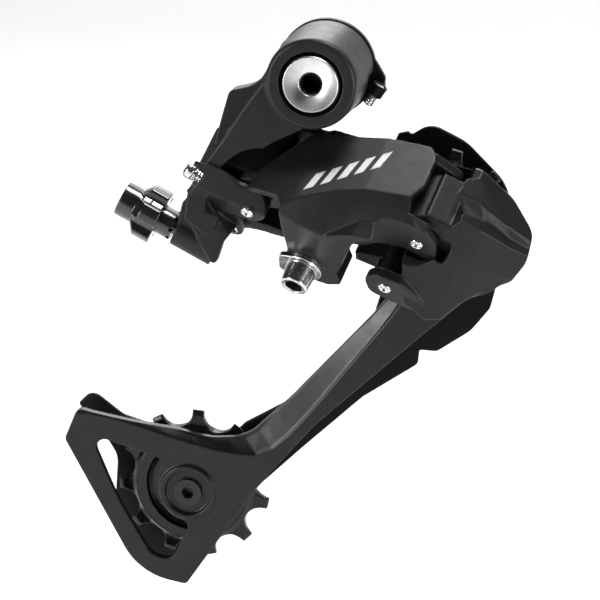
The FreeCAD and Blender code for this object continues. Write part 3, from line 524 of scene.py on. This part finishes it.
def head_screw(node, joint, shank_r, head_r, pitch):
    """Adjusting screw with a domed, cross-slotted head and a rolled thread."""
    point, inward = line_of(joint)
    start, tip = reach(node, point, inward, 0.0, head_r + 0.2)
    under = reach(node, point, inward, head_r - 0.3, head_r + 0.2)[1]
    neck = under + 0.35
    profile = [(0, start), (head_r * 0.5, start + 0.05), (head_r * 0.86, start + 0.45), (head_r, start + 1.0),
               (head_r, under - 0.45), (head_r - 0.45, under), (shank_r - 0.3, under), (shank_r - 0.3, neck),
               (shank_r, neck + 0.2), (shank_r, tip - 0.5), (shank_r - 0.5, tip), (0, tip)]
    body = turned(profile, 0.3, (neck + 0.2, tip - 0.5, pitch, 0.34))
    cross_width, cross_stretch, cross_depth = 1.0, 3.3, 1.1
    bars = []
    for stretch in ((cross_stretch, 1, 1), (1, cross_stretch, 1)):
        bar = prism(4, cross_width, start - PAST, start + cross_depth, math.pi / 4)
        bmesh.ops.scale(bar, vec=stretch, verts=bar.verts)
        bars.append(bar)
    piece = carved(node + "_threaded", body, bars)
    fit_out(piece, node, "bright_steel", axis_frame(point, inward))


def grub_screw():
    """The threaded stop screw of the hanger plate, with a hex socket in its outer end."""
    node = "b_tension_screw"
    point, outward = line_of("b_tension_screw_turn")
    low, high = reach(node, point, outward, 0.0, 2.0)
    radius, chamfer, pitch, depth = 1.7, 0.4, 0.7, 0.3
    key, key_depth = 1.6, 1.5
    profile = [(0, low), (radius - chamfer, low), (radius, low + chamfer), (radius, high - chamfer),
               (radius - chamfer, high), (0, high)]
    body = turned(profile, 0.05, (low + chamfer, high, pitch, depth))
    piece = carved(node + "_threaded", body, [prism(6, key, high - key_depth, high + PAST)])
    fit_out(piece, node, "bright_steel", axis_frame(point, outward))


def clamp_bolt():
    """The tapered cable clamp bolt with its hex socket."""
    node = "cable_clamp_bolt"
    point, outward = line_of("cable_clamp_bolt_turn")
    tip, top = reach(node, point, outward, 0.0, 5.0)
    seat = reach(node, point, outward, 4.4, 5.0)[0]
    profile = [(0, tip), (2.2, tip), (2.5, tip + 0.4), (2.5, seat), (4.7, seat), (4.7, seat + 0.8),
               (4.1, top - 0.3), (3.75, top), (3.1, top), (3.0, top - 0.25), (0, top - 0.25)]
    piece = carved(node + "_turned", turned(profile, 0.25, (tip, seat - 0.4, 0.8, 0.3)),
                   [prism(6, HEX_KEY, top - 4.4, top + PAST, math.radians(10))])
    fit_out(piece, node, "bright_steel", axis_frame(point, outward))
    # the socket's inside painted dark: grease plus painted shade
    darken_socket(piece, point, outward, 2.95, top - 0.3)


def darken_socket(piece, point, outward, radius, level):
    """Gives the faces inside a tool socket a dark finish: grease plus painted shade in the recess."""
    piece.data.materials.append(FINISHES["dark_socket"])
    for face in piece.data.polygons:
        offset = face.center - point
        place = offset.dot(outward)
        deep = (level - SOCKET_DEPTH) * MM < place < level * MM
        if deep and (offset - outward * place).length < radius * MM:
            face.material_index = 1


def mounting_bolt():
    """The hollow-headed bolt of the hanger: dished bright face, hex socket, and a fine thread behind."""
    node = "bracket_axle_bolt"
    outward = Vector((0, -1, 0))
    point = Vector((0, 0, 0))
    head_r, axle_r, thread_r = 8.3, 6.0, 5.0
    low, high = reach(node, point, outward, 0.0, head_r + 0.2)
    shoulder = reach(node, point, outward, axle_r + 1, head_r + 0.2)[0]
    step = reach(node, point, outward, axle_r - 0.1, axle_r + 0.1)[0]
    groove_low, groove_high = step - 2.2, step - 1.4
    profile = [(0, low), (thread_r - 0.8, low), (thread_r, low + 0.8), (thread_r, groove_low),
               (thread_r - 0.6, groove_low), (thread_r - 0.6, groove_high), (thread_r, groove_high),
               (thread_r, step), (axle_r, step), (axle_r, shoulder), (head_r, shoulder), (head_r, high - 0.6),
               (head_r - 0.55, high), (3.45, high - 0.9), (3.3, high - 1.4), (0, high - 1.4)]
    body = turned(profile, 0.12, (low + 0.8, groove_low, 1.0, 0.5), 96)
    piece = carved(node + "_turned", body, [prism(6, HEX_KEY, high - 7, high + PAST, math.radians(15))])
    # turned_steel paints the socket dark: grease plus painted shade
    fit_out(piece, node, "turned_steel", axis_frame(point, outward))


rivets()
head_screw("limit_screw_high", "limit_screw_high_turn", 1.65, 2.5, 0.8)
head_screw("limit_screw_low", "limit_screw_low_turn", 1.65, 2.5, 0.8)
grub_screw()
clamp_bolt()
mounting_bolt()


# ---------------------------------------------------------------- floor, lights and camera
def plain_material(name, colour, rough):
    f = Finish(name, colour, rough)
    f.roughness(f.remap(f.noise(60, 2), 0.3, 0.7, rough - 0.02, rough + 0.02))
    return f.material


def floor():
    """A pale floor below the part at any of its joint limits, curving up into a backdrop."""
    low = CAD_BOX[0][2] - FLOOR_DROP
    half = 3.0
    bend_start = 1.2
    bend = 0.8
    rows = [(-half, low), (bend_start, low)]
    steps = 12
    for k in range(1, steps + 1):
        angle = math.pi / 2 * k / steps
        rows.append((bend_start + bend * math.sin(angle), low + bend * (1 - math.cos(angle))))
    rows.append((bend_start + bend, low + 3.0))
    verts = []
    faces = []
    for y, z in rows:
        verts += [(-half, y, z), (half, y, z)]
    for k in range(len(rows) - 1):
        faces.append((2 * k, 2 * k + 1, 2 * k + 3, 2 * k + 2))
    mesh = bpy.data.meshes.new("studio_floor")
    mesh.from_pydata(verts, [], faces)
    mesh.shade_smooth()
    piece = bpy.data.objects.new("studio_floor", mesh)
    piece.data.materials.append(plain_material("studio_floor", (0.86, 0.86, 0.86), 0.7))
    bpy.context.scene.collection.objects.link(piece)


def softbox(name, place, target, size, watts):
    light = bpy.data.lights.new(name, "AREA")
    light.shape = "RECTANGLE"
    light.size, light.size_y = size
    light.energy = watts
    piece = bpy.data.objects.new(name, light)
    piece.location = place
    piece.rotation_euler = (Vector(target) - Vector(place)).to_track_quat("-Z", "Y").to_euler()
    bpy.context.scene.collection.objects.link(piece)


floor()
CENTRE = Vector([(low + high) / 2 for low, high in zip(*CAD_BOX)])
softbox("top_box", CENTRE + Vector((0.22, -0.1, 0.95)), CENTRE, (0.3, 0.3), 8)
softbox("left_box", CENTRE + Vector((-0.85, -0.8, 0.12)), CENTRE, (0.3, 0.9), 11)
softbox("right_box", CENTRE + Vector((1.0, -0.62, 0.02)), CENTRE, (0.3, 0.8), 8)
softbox("rear_rim", CENTRE + Vector((-0.15, 0.8, 0.5)), CENTRE, (0.5, 0.3), 3)
softbox("backdrop_wash", CENTRE + Vector((0.0, 1.0, 1.3)), CENTRE + Vector((0.0, 1.2, -0.2)), (2.4, 1.0), 24)

world = bpy.data.worlds.new("studio")
world.use_nodes = True
world.node_tree.nodes["Background"].inputs["Color"].default_value = (1, 1, 1, 1)
world.node_tree.nodes["Background"].inputs["Strength"].default_value = 0.03
bpy.context.scene.world = world
bpy.context.scene.view_settings.view_transform = "Standard"

# seen from the outer side, a little from +X and from above
AZIMUTH = math.radians(11.5)
ELEVATION = math.radians(17)
CAMERA_PLACE = Vector((0.1287, -0.6736, 0.1387))
camera_data = bpy.data.cameras.new("camera")
camera_data.lens = 144
camera_data.sensor_width = 36
camera_data.clip_start = 0.01
camera = bpy.data.objects.new("camera", camera_data)
camera.location = CAMERA_PLACE
camera.rotation_euler = (math.pi / 2 - ELEVATION, 0, AZIMUTH)
bpy.context.scene.collection.objects.link(camera)
bpy.context.scene.camera = camera
